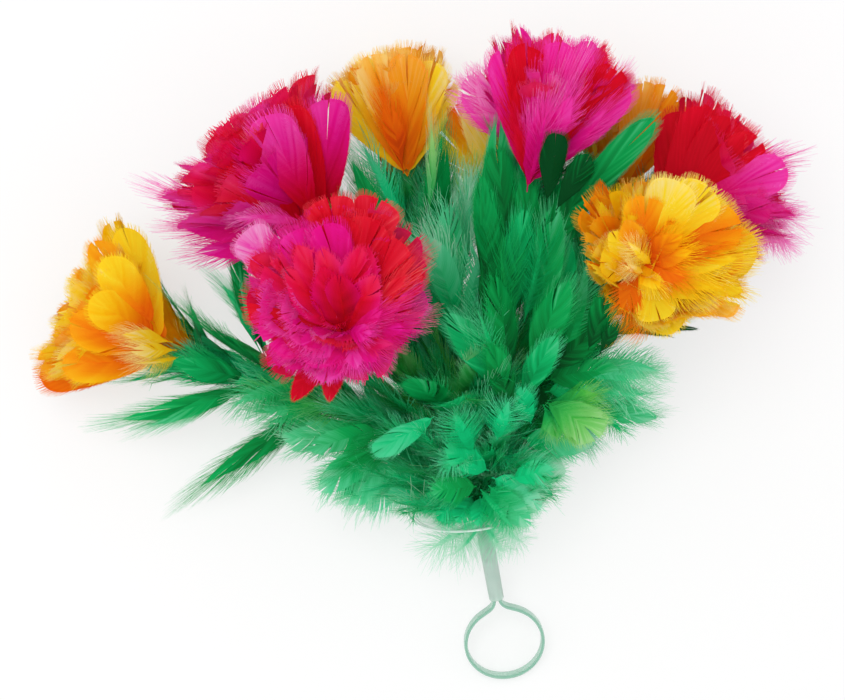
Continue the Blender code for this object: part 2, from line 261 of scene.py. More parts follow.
def feather_material(name, families, glow, streaks):
    """Dyed feather. families are ramps by tone, in the order in which hue passes them.

    A vane's columns each span a little of the map's hue, so noise that is fine in hue
    draws their barbs. glow is how much light comes through.
    """
    made, tree, shader, output = new_material(name)
    place = node(tree, "UVMap", uv_map=MAP).outputs["UV"]
    split = node(tree, "SeparateXYZ", {"Vector": place})
    tone, hue = split.outputs["X"], split.outputs["Y"]
    # fine noise across the columns paints barb streaks: partly the barbs' own tone, partly painted
    # light where single barbs catch it
    stretched = node(tree, "Mapping", {"Scale": (5, 330, 1), "Vector": place}).outputs["Vector"]
    barbs = node(tree, "TexNoise", {"Scale": 1.0, "Detail": 1.0, "Vector": stretched})
    shift = {0: barbs.outputs["Fac"], 1: streaks, 2: -streaks / 2}
    shift = node(tree, "Math", shift, operation="MULTIPLY_ADD")
    tone = node(tree, "Math", {0: tone, 1: shift.outputs[0]}).outputs[0]
    result = ramp(tree, tone, families[0])
    steps = len(families) - 1
    for i, family in enumerate(families[1:]):
        inputs = {"Factor": band(tree, hue, i / steps, (i + 1) / steps), "A": result}
        inputs["B"] = ramp(tree, tone, family)
        result = node(tree, "Mix", inputs, data_type="RGBA").outputs["Result"]
    feed(tree, shader, {"Base Color": result, "Roughness": 0.6, "Specular IOR Level": 0.08})
    blend_in(tree, shader, output, glow, node(tree, "BsdfTranslucent", {"Color": result}))
    return made


def plastic_material(name, pale, deep, roughness, alpha, transmission):
    """Clear moulded plastic with faint clouding and fine scuffs."""
    made, tree, shader, _ = new_material(name)
    inputs = {
        "Base Color": ramp(tree, noise(tree, 120), (deep, pale)),
        "Roughness": band(tree, noise(tree, 900), -roughness, 2 - roughness),
        "Normal": bump(tree, 400, 0.15),
        "Alpha": alpha,
        "Transmission Weight": transmission,
        "IOR": 1.4,
    }
    feed(tree, shader, inputs)
    return made


def thread_material(name, pale, deep):
    """Twisted thread or floral tape."""
    made, tree, shader, _ = new_material(name)
    tint = ramp(tree, noise(tree, 1500), (deep, pale))
    feed(tree, shader, {"Base Color": tint, "Normal": bump(tree, 2500, 0.6), "Roughness": 0.8})
    return made


# Ramps run from dark to pale. The darker tones of the warm and red ramps lean to a deeper hue,
# yellow's to orange, as the dyed feathers look in shade: painted shade.
ORANGE = ((204, 66, 0), (234, 94, 0), (248, 132, 4), (252, 172, 20), (254, 216, 120))
YELLOW = ((226, 104, 0), (248, 166, 0), (253, 206, 6), (254, 230, 44), (254, 243, 165))
RED = ((160, 0, 14), (205, 0, 24), (230, 6, 40), (242, 44, 66), (248, 144, 136))
MAGENTA = ((188, 0, 84), (222, 0, 112), (240, 16, 156), (247, 78, 192), (251, 176, 228))
TEAL = ((0, 112, 64), (0, 178, 108), (14, 216, 142), (100, 230, 178), (196, 242, 220))
EMERALD = ((0, 70, 28), (0, 134, 60), (10, 180, 92), (86, 210, 148), (190, 234, 208))
LIME = ((20, 86, 12), (44, 148, 34), (88, 196, 64), (152, 218, 106), (216, 238, 180))

WARM = feather_material("warm_feather", (ORANGE, YELLOW), glow=0.38, streaks=0.36)
HOT = feather_material("hot_feather", (RED, MAGENTA), glow=0.38, streaks=0.36)
GREEN = feather_material("green_feather", (TEAL, EMERALD, LIME), glow=0.3, streaks=0.32)
DYED = {"warm": WARM, "hot": HOT}


# ---- ribbons


def make_piece(name, points, faces, skin, nodes, places=None):
    """One smooth mesh of quads that rides on the bouquet. places are its map coordinates."""
    points = np.asarray(points, np.float32)
    faces = np.asarray(faces, np.int32)
    mesh = bpy.data.meshes.new(name)
    mesh.vertices.add(len(points))
    mesh.vertices.foreach_set("co", points.ravel())
    mesh.loops.add(faces.size)
    mesh.loops.foreach_set("vertex_index", faces.ravel())
    mesh.polygons.add(len(faces))
    mesh.polygons.foreach_set("loop_start", np.arange(len(faces), dtype=np.int32) * 4)
    mesh.update(calc_edges=True)
    if places is not None:
        layer = mesh.uv_layers.new(name=MAP)
        layer.uv.foreach_set("vector", np.asarray(places, np.float32)[faces.ravel()].ravel())
    mesh.shade_smooth()
    mesh.materials.append(skin)
    mesh.validate()
    made = bpy.data.objects.new(name, mesh)
    bpy.context.scene.collection.objects.link(made)
    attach(made, "root")
    if nodes:
        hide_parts(*nodes)
    return made


class Plumage:
    """Collects ribbons and makes one piece of them."""

    def __init__(self):
        self.points = []
        self.places = []
        self.quads = []
        self.count = 0

    def store(self, points, tint, corners):
        points[..., 2] = np.maximum(points[..., 2], GAP)
        self.points.append(points.reshape(-1, 3))
        self.places.append(np.clip(tint, 0.01, 0.99).reshape(-1, 2))
        self.quads.append(np.stack(corners, axis=-1).reshape(-1, 4))
        self.count += self.points[-1].shape[0]

    def add(self, left, right, left_tint, right_tint):
        """Edges are (ribbons, stations, 3), and tints, tone and hue, (ribbons, stations, 2)."""
        ribbons, stations, _ = left.shape
        index = np.arange(ribbons * stations * 2).reshape(ribbons, stations, 2) + self.count
        corners = (index[:, :-1, 0], index[:, :-1, 1], index[:, 1:, 1], index[:, 1:, 0])
        tint = np.stack([left_tint, right_tint], axis=2)
        self.store(np.stack([left, right], axis=2), tint, corners)

    def sheet(self, points, tint, kept):
        """A surface through (rows, stations, 3) points. kept says which rows join the next."""
        rows, stations, _ = points.shape
        index = np.arange(rows * stations).reshape(rows, stations) + self.count
        first, second = index[:-1][kept], index[1:][kept]
        corners = (first[:, :-1], second[:, :-1], second[:, 1:], first[:, 1:])
        self.store(points, tint, corners)

    def piece(self, name, skin, slot, *nodes):
        points, quads, places = (np.concatenate(x) for x in (self.points, self.quads, self.places))
        return make_piece(name, points, quads, skin, nodes, places)


class Spine:
    """A curved midline. It bends towards its face, sways towards its side, and twists."""

    def __init__(self, base, heading, face, length, bend=0.0, hook=0.0, sway=0.0, twist=0.0):
        heading = unit(heading)
        face = unit(face - heading * np.dot(face, heading))
        side = np.cross(heading, face)
        q = np.linspace(0, 1.2, 25)
        phi = (bend * q + hook * q**4)[:, None]
        theta = (sway * q)[:, None]
        tau = (twist * q)[:, None]
        way = np.cos(phi) * heading + np.sin(phi) * face
        normal = np.cos(phi) * face - np.sin(phi) * heading
        across = np.cos(theta) * side - np.sin(theta) * way
        way = np.cos(theta) * way + np.sin(theta) * side
        steps = (way[1:] + way[:-1]) / 2 * (q[1] - q[0]) * length
        self.q = q
        self.length = length
        self.way = way
        self.normal = np.cos(tau) * normal + np.sin(tau) * across
        self.across = np.cos(tau) * across - np.sin(tau) * normal
        self.path = np.concatenate([[base], base + np.cumsum(steps, axis=0)])

    def read(self, values, y):
        q = np.clip(y / self.length, 0, self.q[-1])
        return np.stack([np.interp(q, self.q, values[:, i]) for i in range(3)], axis=-1)

    def at(self, x, y, z, curve):
        """The point x across, y along and z off the feather, whose width follows an arc."""
        turn = x * curve
        flat = np.where(np.abs(turn) < 1e-4, x, np.sin(turn) / curve)
        rise = np.where(np.abs(turn) < 1e-4, 0, (1 - np.cos(turn)) / curve) + z
        across = self.read(self.across, y) * flat[..., None]
        return self.read(self.path, y) + across + self.read(self.normal, y) * rise[..., None]


def arched(start, end, up, bow, sway=0.0, twist=0.0):
    """A midline from start to end that arches towards up, turning by bow on its way."""
    chord = end - start
    heading = unit(chord)
    up = unit(up - heading * np.dot(up, heading))
    lifted = heading * math.cos(bow / 2) + up * math.sin(bow / 2)
    length = np.linalg.norm(chord) * (1 + bow * bow / 24)
    return Spine(start, lifted, -up, length, bend=bow, sway=sway, twist=twist)


# ---- feathers


@dataclass(frozen=True)
class Cut:
    """How one kind of feather is built. Lengths are in millimetres, the rest are shares."""

    columns: int = 17  # of the closed vane, on each side
    hairs: int = 60  # free barb ends, on each side
    bends: int = 2  # points along each free end
    closed: float = 0.86  # how much of each barb the vane holds
    stop: float = 0.94  # where on the shaft the last barbs leave it
    ahead: float = 0.10  # where the first barbs end
    widest: float = 0.62
    narrow: float = 0.25  # width at the base
    blunt: float = 2.2
    sweep: float = 0.3  # how soon a barb turns forwards
    split: float = 0.14  # chance that the vane parts at a column
    gap: float = 1.0  # how far parted clumps stray
    ragged: float = 0.03
    lift: float = 0.3
    hair: float = 0.10  # how far the free ends stand out
    thick: float = 1.1  # width of a free end at its root, in spacings
    stray: float = 0.01  # how far a free end wanders along the outline
    fluff: float = 0.4  # and off the vane
    # the barbs' differences in tone are partly their own tone and partly painted light, where
    # single barbs catch it
    streaks: float = 0.045  # how much the barbs differ in tone
    vary: float = 0.045  # and whole feathers
    ruffle: float = 1.0
    curl: float = 0.5  # how far each side turns up, in radians
    shaft: float = 0.3


SOFT = Cut(hairs=78, closed=0.88, hair=0.01, thick=0.9, stray=0.018, fluff=0.5, split=0.06)
FAN = replace(SOFT, stop=0.66, widest=0.84, narrow=0.18, blunt=3.0, sweep=0.42, shaft=0.16)
ROUND = replace(SOFT, stop=0.8, widest=0.72, narrow=0.3, blunt=2.4, shaft=0.18)
LANCE = replace(SOFT, stop=0.84, ahead=0.2, widest=0.55, narrow=0.35, blunt=1.6, shaft=0.2)
GOOSE = Cut(
    columns=18, hairs=90, closed=0.8, stop=0.8, ahead=0.22, blunt=2.1, split=0.1, ragged=0.05,
    hair=0.1, stray=0.015, fluff=0.8, streaks=0.07, vary=0.08, ruffle=2.0,
)
BROAD = replace(GOOSE, widest=0.78, blunt=2.8, narrow=0.3, closed=0.88, hair=0.03, split=0.05)
HACKLE = Cut(
    columns=12, hairs=72, bends=3, closed=0.56, stop=0.62, ahead=0.40, widest=0.58, narrow=0.3,
    blunt=1.45, split=0.12, gap=0.8, ragged=0.07, hair=0.12, thick=0.9, stray=0.025, fluff=0.8,
    streaks=0.07, vary=0.07,
)
DOWNY = Cut(
    columns=6, hairs=76, bends=3, closed=0.22, stop=0.82, ahead=0.24, widest=0.55, narrow=0.6,
    blunt=1.9, sweep=0.4, split=0.3, gap=1.2, ragged=0.08, lift=0.5, hair=0.18, thick=0.9,
    stray=0.035, fluff=1.8, streaks=0.05, vary=0.08,
)
CLOUD = replace(
    DOWNY, columns=12, closed=0.62, widest=0.66, blunt=2.5, sweep=0.35, hair=0.16, fluff=1.2,
    ruffle=2.0,
)
WISPY = replace(DOWNY, closed=0.12, hair=0.35, stray=0.05, fluff=2.6, thick=0.8)

ROOT = 0.05  # where on the shaft the first barbs leave it
RISE = 0.82  # how the barbs' ends crowd towards the tip
ELBOW = 0.52  # how far across the feather a barb bends
WEAVE = 0.012  # how far neighbouring columns differ in hue
PARTING = 0.012  # how wide a parted vane opens


def outline(e, half, length, cut):
    """The outline's distance across and along, for e from 0 at its base to 1 at its tip."""
    rising = np.clip(e * 2, 0, 1)
    closing = np.clip(e * 2 - 1, 0, 1) * math.pi / 2
    power = 2 / cut.blunt
    x = half * (cut.narrow + (1 - cut.narrow) * np.sin(rising * math.pi / 2))
    x = x * np.maximum(np.cos(closing), 0) ** power
    y = cut.ahead + (cut.widest - cut.ahead) * rising + (1 - cut.widest) * np.sin(closing) ** power
    return x, length * y


def barb(cut, half, length, t, s, shift=0.0, reach=1.0):
    """A point on the barb that leaves the shaft at t: s is 0 at the shaft and 1 at the outline."""
    t = np.clip(t, 0, 1)
    ex, ey = outline(np.clip(t**RISE + shift, 0, 1), half, length, cut)
    start = (ROOT + (cut.stop - ROOT) * t) * length
    ex = ex * reach
    ey = start + (ey - start) * reach
    x = 2 * s * (1 - s) * ex * ELBOW + s * s * ex
    middle = start + (ey - start) * cut.sweep
    y = (1 - s) ** 2 * start + 2 * s * (1 - s) * middle + s * s * ey
    return x, y


def feather(out, spine, half, cut, tone, hue):
    """One feather: a closed vane that parts into clumps, its barbs' free ends, and the shaft.

    tone is the base's, the tip's and what the edge adds; a base darker than its tip
    is partly the feather's own tone and partly painted shade where feathers overlap.
    hue is the same, and where it turns.
    """
    length = spine.length
    curve = cut.curl / half
    wave = rng.uniform(0, TAU, 2)
    waves = rng.uniform(1.0, 2.2)
    own = rng.normal(0, cut.vary)

    def surface(x, y, z):
        along = np.clip(y / length, 0, 1.2)
        beside = (x / half) ** 2
        side_wave = beside * np.sin(waves * TAU * along + wave[0])
        rim_wave = along**6 * np.sin(waves * 2.6 * x / half + wave[1])
        return spine.at(x, y, z + cut.ruffle * MM * (side_wave + rim_wave), curve)

    def tint(x, y, extra, off):
        along = np.clip(y / length, 0, 1.1)
        beside = np.minimum((x / half) ** 2, 1.2)
        turned = np.clip((along - hue[3]) / 0.45 + 0.5, 0, 1)
        # a darker base is partly painted shade, where the feathers overlap
        u = tone[0] + (tone[1] - tone[0]) * along + tone[2] * beside + own + extra
        v = hue[0] + (hue[1] - hue[0]) * turned + hue[2] * beside + off
        return np.stack([u, v], axis=-1)

    for hand in (-1, 1):
        t = np.linspace(0, 1, cut.columns + 1)
        parted = rng.random(len(t)) < cut.split
        parted[[0, -1]] = False
        t = np.repeat(t, 1 + parted)
        opened = np.diff(t) == 0
        clump = np.concatenate([[0], np.cumsum(opened)])
        clumps = clump[-1] + 1
        shift = rng.normal(0, cut.gap * 0.45, clumps) / 22
        reach = 1 + rng.normal(0, cut.ragged, clumps)
        raised = rng.normal(0, cut.lift, clumps) * MM
        streak = rng.normal(0, 0.025, clumps)
        pull = np.zeros(len(t))
        pull[:-1][opened] -= cut.gap * PARTING
        pull[1:][opened] += cut.gap * PARTING
        s = (np.array((0.0, 0.5, 1.0)) * cut.closed)[None]
        moved = (shift[clump] + pull)[:, None]
        x, y = barb(cut, half, length, t[:, None], s, moved, reach[clump][:, None])
        z = raised[clump][:, None] * s**2
        # each clump and column differs in tone: partly its own tone, partly painted light where
        # single barbs catch it
        light = streak[clump] + rng.normal(0, cut.streaks, len(t))
        weave = WEAVE * (-1.0) ** np.arange(len(t))
        tints = tint(x, y, light[:, None], weave[:, None])
        out.sheet(surface(hand * x, y, z), tints, ~opened)

        count = cut.hairs
        t_hair = 0.04 + 0.95 * (np.arange(count) + rng.uniform(0.1, 0.9, count)) / count
        its = clump[np.searchsorted(t, t_hair, side="right") - 1]
        share = np.linspace(0, 1, cut.bends)[None]
        far = 1 + cut.hair * rng.uniform(-0.5, 1.5, count)[:, None]
        root = cut.closed * 0.94
        s = root + (far - root) * share
        phase = rng.uniform(0, TAU, (count, 1))
        drift = cut.stray * rng.normal(0, 1, (count, 1)) * share
        drift = drift + cut.stray * np.sin(4 * share + phase) * share
        z = raised[its][:, None] * s**2
        z = z + cut.fluff * MM * rng.normal(0, 1, (count, 1)) * share**1.5
        light = streak[its][:, None] + rng.normal(0, 0.04, (count, 1)) + 0.07 * share
        made = []
        for sign in (-1, 1):
            edge = t_hair[:, None] + drift + sign * cut.thick * 0.5 / count * (1 - 0.85 * share)
            x, y = barb(cut, half, length, edge, s, shift[its][:, None], reach[its][:, None])
            made.append((surface(hand * x, y, z), tint(x, y, light, WEAVE * sign)))
        out.add(made[0][0], made[1][0], made[0][1], made[1][1])

    if cut.shaft:
        y = np.linspace(0, cut.stop, 7) * length
        wide = cut.shaft * MM * np.linspace(1, 0.25, 7)
        rise = np.full(7, 0.25 * MM)
        left, right = (surface(edge, y, rise)[None] for edge in (-wide, wide))
        left_tint, right_tint = (tint(0 * y, y, 0.1, off)[None] for off in (-WEAVE, WEAVE))
        out.add(left, right, left_tint, right_tint)


def strands(out, roots, ways, lengths, width, tone, hue, stations=4, wave=0.08):
    """Thin wavy strands. tone and hue give the root's value and the tip's."""
    count = len(roots)
    s = np.linspace(0, 1, stations)[None, :, None]
    first = unit(np.cross(ways, unit(rng.normal(size=ways.shape))))
    second = np.cross(ways, first)
    reach = np.broadcast_to(lengths, count)[:, None, None]
    phase = rng.uniform(0, TAU, (count, 1, 1))
    swing = wave * reach * s
    turns = 1.3 * rng.uniform(0.6, 1.3, (count, 1, 1))
    path = roots[:, None] + ways[:, None] * reach * s
    path = path + first[:, None] * swing * (np.sin(TAU * turns * s + phase) - np.sin(phase))
    path = path + second[:, None] * swing * rng.normal(0, 1.2, (count, 1, 1)) * s
    flat = second[:, None] * np.cos(phase) + first[:, None] * np.sin(phase)
    half = width * MM / 2 * (1 - 0.7 * s) * rng.uniform(0.7, 1.3, (count, 1, 1))
    share = np.linspace(0, 1, stations)[None, :]
    u = tone[0] + (tone[1] - tone[0]) * share + rng.normal(0, 0.06, (count, 1))
    v = hue[0] + (hue[1] - hue[0]) * share + rng.normal(0, 0.03, (count, 1))
    tint = np.stack([u, v], axis=-1)
    out.add(path - flat * half, path + flat * half, tint - 0.01, tint + 0.01)


def plume(out, spine, tone, hue, count=145, length=15 * MM, spread=0.7, flat=0.55):
    """A marabou plume: long soft strands round a midline. flat is its depth for its width."""
    y = rng.uniform(0.05, 1.0, count) * spine.length
    q = y / spine.length
    root = spine.read(spine.path, y)
    way = spine.read(spine.way, y)
    across = spine.read(spine.across, y)
    normal = spine.read(spine.normal, y)
    turn = rng.uniform(0, TAU, count)
    lean = rng.uniform(0.35, 1.0, count) * spread * (1.15 - 0.6 * q)
    out_of = unit(across * np.cos(turn)[:, None] + normal * (np.sin(turn) * flat)[:, None])
    ways = unit(way * np.cos(lean)[:, None] + out_of * np.sin(lean)[:, None])
    lengths = length * rng.uniform(0.55, 1.1, count) * (1.05 - 0.35 * q)
    strands(out, root, ways, lengths, 0.28, tone, hue, 3, wave=0.09)


def leaning(axis, outwards, lean):
    """The direction that leans off an axis, and the face that looks back to the axis."""
    heading = axis * math.cos(lean) + outwards * math.sin(lean)
    face = axis * math.sin(lean) - outwards * math.cos(lean)
    return heading, face


# ---- blooms

# count, share of the height, share of the spread, start and half width in mm, hook
OUTER_WHORLS = (
    (9, 0.80, 1.08, 0.0, 12.5, 0.30),
    (11, 0.93, 1.02, 1.5, 14.0, 0.26),
    (11, 0.98, 0.92, 3.0, 14.0, 0.22),
)
INNER_WHORLS = (
    (11, 0.99, 0.76, 5.0, 13.5, 0.25),
    (10, 0.97, 0.60, 7.0, 13.0, 0.40),
    (9, 0.95, 0.44, 9.0, 12.5, 0.55),
    (8, 0.92, 0.28, 10.0, 12.0, 0.75),
    (5, 0.86, 0.12, 11.0, 11.0, 0.95),
)
OUTER_KINDS = (FAN, FAN, FAN, FAN, ROUND, ROUND)
INNER_KINDS = (FAN, FAN, FAN, ROUND, ROUND, LANCE)
SHADED = 40 * MM  # a bloom whose rim is lower lies in the others' shade, and is made paler
PATTERN_RADIUS = 47 * MM  # the whorls' half widths are for a bloom of this radius


def petal_colour(bloom, outwards):
    """A petal's tone and hue: its base has the first dye, its tip or rim often the second."""
    low, high = (0.26, 0.74) if bloom.dyes == "warm" else (0.18, 0.64)
    if bloom.rim[2] < SHADED:
        low, high = low + 0.12, high + 0.12
    tone = (low + rng.uniform(-0.06, 0.06), high + rng.uniform(-0.1, 0.08), 0.08)
    chance = bloom.share + 0.5 * float(np.dot(bloom.second, outwards))
    if rng.random() < chance:
        start, end, rim, turn = (0.0, 0.9), (0.8, 1.0), (0, 0.3), (0.3, 0.75)
        return tone, tuple(rng.uniform(*limits) for limits in (start, end, rim, turn))
    return tone, (0.0, rng.uniform(0.0, 0.3), rng.uniform(0, 0.8), rng.uniform(0.5, 0.9))


def whorls(out, bloom, table, kinds):
    """Rings of petals that leave the neck, each nearer the axis than the last."""
    size = bloom.radius / PATTERN_RADIUS
    for count, share, lean, start, half, hook in table:
        offset = rng.uniform(0, TAU)
        slant = bloom.height / math.cos(bloom.spread * min(lean, 1))
        for k in range(count):
            outwards = bloom.outwards(offset + TAU * (k + rng.uniform(-0.3, 0.3)) / count)
            own_lean = lean * rng.uniform(0.88, 1.1)
            first, last = bloom.spread * own_lean * 0.78, bloom.spread * own_lean * 1.22
            heading, face = leaning(bloom.axis, outwards, first)
            base = bloom.base + bloom.axis * start * MM
            base = base + outwards * NECK_RADIUS * min(1, 0.4 + own_lean * 0.6)
            length = slant * share * rng.uniform(0.92, 1.06)
            length *= 1 - max(0, float(np.dot(bloom.trim, outwards)))
            bend, curled = first - last + rng.normal(0, 0.07), -hook * rng.uniform(-0.2, 2.0)
            sway, twist = rng.normal(0, 0.12), rng.normal(0, 0.2 + 0.8 * max(0, 0.8 - lean))
            spine = Spine(base, heading, face, length, bend, curled, sway, twist)
            kind = kinds[rng.integers(len(kinds))]
            kind = replace(
                kind,
                blunt=kind.blunt * rng.uniform(0.75, 1.5),
                ruffle=rng.uniform(0.5, 2.0),
                curl=rng.uniform(0.35, 1.0),
            )
            width = half * size * MM * rng.uniform(0.9, 1.2) * (0.75 if kind.widest < 0.6 else 1)
            feather(out, spine, width, kind, *petal_colour(bloom, outwards))


def fanned(bloom, count, low, high):
    """Random outward directions, and ones that lean between two shares of the spread."""
    outwards = np.stack([bloom.outwards(a) for a in rng.uniform(0, TAU, count)])
    lean = (bloom.spread * rng.uniform(low, high, count))[:, None]
    return outwards, unit(bloom.axis * np.cos(lean) + outwards * np.sin(lean))


def neck_fluff(out, bloom, count):
    """Short pale fluff where the petals leave the neck."""
    outwards, ways = fanned(bloom, count, 0.9, 1.6)
    roots = bloom.base + bloom.axis * (rng.uniform(-2, 6, count) * MM)[:, None]
    roots = roots + outwards * NECK_RADIUS
    lengths = rng.uniform(9, 22, count) * MM
    strands(out, roots, ways, lengths, 0.4, (0.5, 0.85), (0.8, 1.0), 3)


def heart(out, bloom, count):
    """Fine barbs that fill the middle of the bloom."""
    _, ways = fanned(bloom, count, 0.0, 0.85)
    roots = bloom.base + ways * (rng.uniform(0.45, 0.68, count) * bloom.height)[:, None]
    lengths = rng.uniform(0.2, 0.38, count) * bloom.height
    strands(out, roots, ways, lengths, 0.35, (0.5, 0.8), (0.4, 0.9))


KINDS = {"fan": FAN, "round": ROUND, "lance": LANCE, "goose": GOOSE, "broad": BROAD}
KINDS |= {"hackle": HACKLE, "downy": DOWNY, "cloud": CLOUD, "wispy": WISPY}
# Hue at the base and the tip, what the edge adds, and where it turns
HUES = {
    "plain": (0.0, 0.0, 0.0, 0.5),  # all in the first dye
    "other": (0.9, 1.0, 0.0, 0.5),  # all in the second
    "rimmed": (0.0, 0.2, 0.9, 0.8),  # the first, with its rim in the second
    "turned": (0.0, 1.0, 0.0, 0.5),  # the first at the base and the second at the tip
    "blueish": (0.1, 0.15, 0.0, 0.5),  # the greens, from blue to yellow
    "mint": (0.35, 0.35, 0.0, 0.5),
    "dark": (0.5, 0.5, 0.0, 0.5),
    "limy": (0.9, 1.0, 0.0, 0.5),
}


def feathers(text):
    """Reads the single feathers of each bloom or group, one to a line of text.

    A line has the feather's kind, hue by name or in numbers, start, end, half width, bow,
    and tones at the base and the tip. Lengths are the CAD's millimetres. A kind or hue
    that is left out is the one above. A line with a name starts a group or goes on with
    it. A start and a bow after the name are shared by the lines that follow, which then
    leave them out: they are petals that spread over the near side of a bloom.
    """
    groups = {}
    for line in text.splitlines():
        named, numbers = False, []
        for word in line.partition("#")[0].split():
            if word in KINDS:
                kind = KINDS[word]
            elif word in HUES:
                hue = HUES[word]
            elif "/" in word:
                hue = tuple(float(value) for value in word.split("/"))
            elif word[0].isalpha():
                group, named = groups.setdefault(word, []), True
            else:
                numbers.append(float(word))
        if named:
            shared = numbers
        elif numbers:
            x = shared[:3] + numbers[:4] + shared[3:] + numbers[4:]
            group.append((kind, x[:3], x[3:6], x[6], x[7], x[8:], hue))
    return groups


# Petals that stand out of their bloom or lie over it
PETALS = feathers(
    """
far_left
round other -138 4 62  -157 67 66  12 .3  .3 .7
rimmed -134 4 60  -176 58 70  12 .3  .3 .6
fan plain -132 -2 40  -213 -14 30  12 .1  .2 .45
rimmed -134 0 44  -205 2 50  12 .2  .2 .5
round turned -140 8 70  -172 27 92  12 .9  .2 .72
rimmed -142 2 70  -184 12 88  12 .8  .2 .7
turned -140 14 74  -168 46 90  12 .9  .2 .72
rimmed -142 -6 62  -190 -6 76  12 .7  .2 .7
hackle other -132 4 62  -162 12 90  7 .5  .4 .95
-130 0 60  -158 0 86  7 .5  .4 .97
wispy -130 -4 56  -154 -10 78  8 .4  .5 .98
left_red
fan turned -55 66 84  -78 120 127  14 .4  .2 .72
-50 64 74  -50 130 106  14 .2  .15 .62
plain -52 62 76  -64 126 112  13 .2  .15 .55
-58 62 78  -98 94 116  14 .3  .2 .55
rimmed -60 60 76  -116 92 108  13 .3  .2 .6
downy other -62 66 96  -102 68 104  9 .5  .6 .95
hackle -80 66 84  -147 82 78  10 .3  .3 .75
-76 60 76  -143 66 68  11 .3  .3 .75
-72 56 72  -132 52 58  11 .3  .3 .7
top_left
hackle plain -10 94 54  -20 146 68  10 .3  .1 .6
top_left -8 93 50 .3
fan other -48 145 50  12  .35 .85
13 149 46  11  .35 .85
turned -38 155 60  12  .3 .85
5 156 58  11  .3 .85
rimmed -26 159 66  12  .35 .85
plain -8 160 66  12  .35 .82
centre_back 42 80 42 .3
fan other 9 122 46  11  .6 .8
1/0/0/.6 17 134 50  12  .75 .4
other 28 134 54  11  .65 .84
38 130 56  11  .6 .84
top_red
hackle other 53 84 108  64 134 142  12 .4  .25 .75
53 80 104  56 128 140  9 .4  .25 .7
rimmed 53 84 106  48 122 136  7 .4  .25 .55
wispy other 54 84 110  62 124 144  8 .4  .4 .85
hackle 58 96 122  78 132 144  10 .3  .35 .7
cloud 42 108 86  18 143 84  13 .3  .6 .92
44 108 88  29 148 88  12 .3  .6 .92
hackle 86 118 116  106 144 116  9 .3  .5 .9
top_red 54 84 106 .35
fan other 38 152 130  11  .25 .62
103 134 128  11  .25 .65
plain 93 145 134  12  .2 .55
turned 81 152 140  12  .25 .7
plain 52 154 140  12  .15 .5
turned 67 155 142  12  .25 .7
hackle plain 44 144 136  10  .15 .55
other 58 152 144  10  .25 .75
74 150 145  10  .25 .8
plain 88 144 142  10  .15 .6
other 98 132 132  9  .25 .7
right_red
downy other 168 73 58  200 52 58  11 .5  .6 .95
wispy 158 80 66  203 64 66  13 .4  .7 .98
hackle 156 72 62  199 52 62  8 .4  .5 .95
140 84 84  200 104 72  12 .4  .35 .75
140 78 82  202 82 68  12 .4  .35 .75
right_red 122 64 84 .35
fan plain 136 126 92  13  .1 .45
147 128 98  12  .1 .5
158 122 102  13  .15 .5
172 112 104  13  .2 .6
turned 184 102 104  12  .2 .7
right_front
lance plain 95 48 112  89 86 118  6.5 .3  .3 .55
98 44 116  83 76 124  6 .3  .3 .5
hackle other 112 50 134  102 80 142  9 .3  .5 .8
downy 112 42 140  96 53 150  8 .5  .7 .99
108 38 140  96 42 148  7 .4  .7 .99
hackle 134 42 130  168 58 122  10 .4  .4 .8
134 36 130  166 30 118  10 .4  .4 .75
rimmed 116 30 124  96 2 112  8 .4  .3 .7
plain 120 28 124  106 2 112  8 .4  .3 .6
right_front 106 43 136 .5
round other 86 42 142  11  .3 .75
lance 91 58 145  8  .3 .72
rimmed 99 64 147  8  .3 .72
fan 111 76 144  12  .2 .6
other 127 84 142  14  .35 .76
143 80 141  14  .3 .74
rimmed 155 70 139  13  .2 .66
hackle 163 57 137  12  .2 .7
other 165 46 134  12  .2 .7
160 30 131  11  .3 .8
142 20 130  12  .2 .7
fan 120 14 130  12  .25 .7
hackle plain 99 12 130  11  .2 .6
turned 132 60 149  11  .05 .6
140 48 148  11  .05 .6
plain 134 34 146  11  .1 .6
other 118 26 144  10  .3 .85
front_red
fan other -66 36 122  -91 59 122  12 .3  .6 .9
plain -38 40 124  -46 77 136  14 .3  .3 .62
-34 40 124  -23 76 134  13 .3  .3 .66
lance -48 2 118  -66 -27 108  7 .3  .35 .62
-42 0 118  -50 -26 110  6 .3  .35 .62
hackle 0/.3/0/.5 -30 14 132  7 42 124  10 .4  .4 .8
.2/.5/0/.5 -28 6 130  6 24 120  10 .4  .4 .8
0/.2/0/.5 -32 20 134  0 56 126  9 .4  .4 .8
front_red -38 9 128 .5
fan turned -66 60 136  13  .25 .55
plain -46 69 138  14  .2 .55
-27 68 137  14  .3 .62
-10 56 136  13  .3 .6
rimmed -79 43 135  13  .2 .6
plain -86 25 133  13  .2 .5
rimmed -76 8 131  12  .2 .55
plain 1 40 134  12  .3 .6
lance rimmed -62 52 146  12  .15 .6
fan turned -41 65 145  12  .2 .58
lance rimmed -47 51 150  10  .15 .55
-33 52 151  10  .12 .5
-26 52 147  12  .15 .5
-70 38 145  11  .15 .6
-52 40 150  11  .15 .55
-38 38 151  11  .1 .5
-22 37 150  10  .15 .6
hackle plain 0 44 140  10  .3 .7
.3/.7/0/.5 3 30 138  10  .3 .75
other 0 14 136  11  .25 .65
.2/.5/0/.5 -8 2 134  10  .25 .7
other -18 -9 132  11  .25 .6
-30 -15 132  10  .3 .75
-45 -16 132  10  .25 .7
-59 -8 133  10  .25 .65
-68 2 134  9  .3 .7
.4/.8/0/.5 -14 22 146  9  .2 .6
other -20 8 144  9  .25 .75
back_right 106 84 50 .3
fan plain 114 140 58  12  .45 .78
122 144 60  12  .5 .8
132 142 58  12  .5 .8
140 134 52  11  .5 .8
"""
)

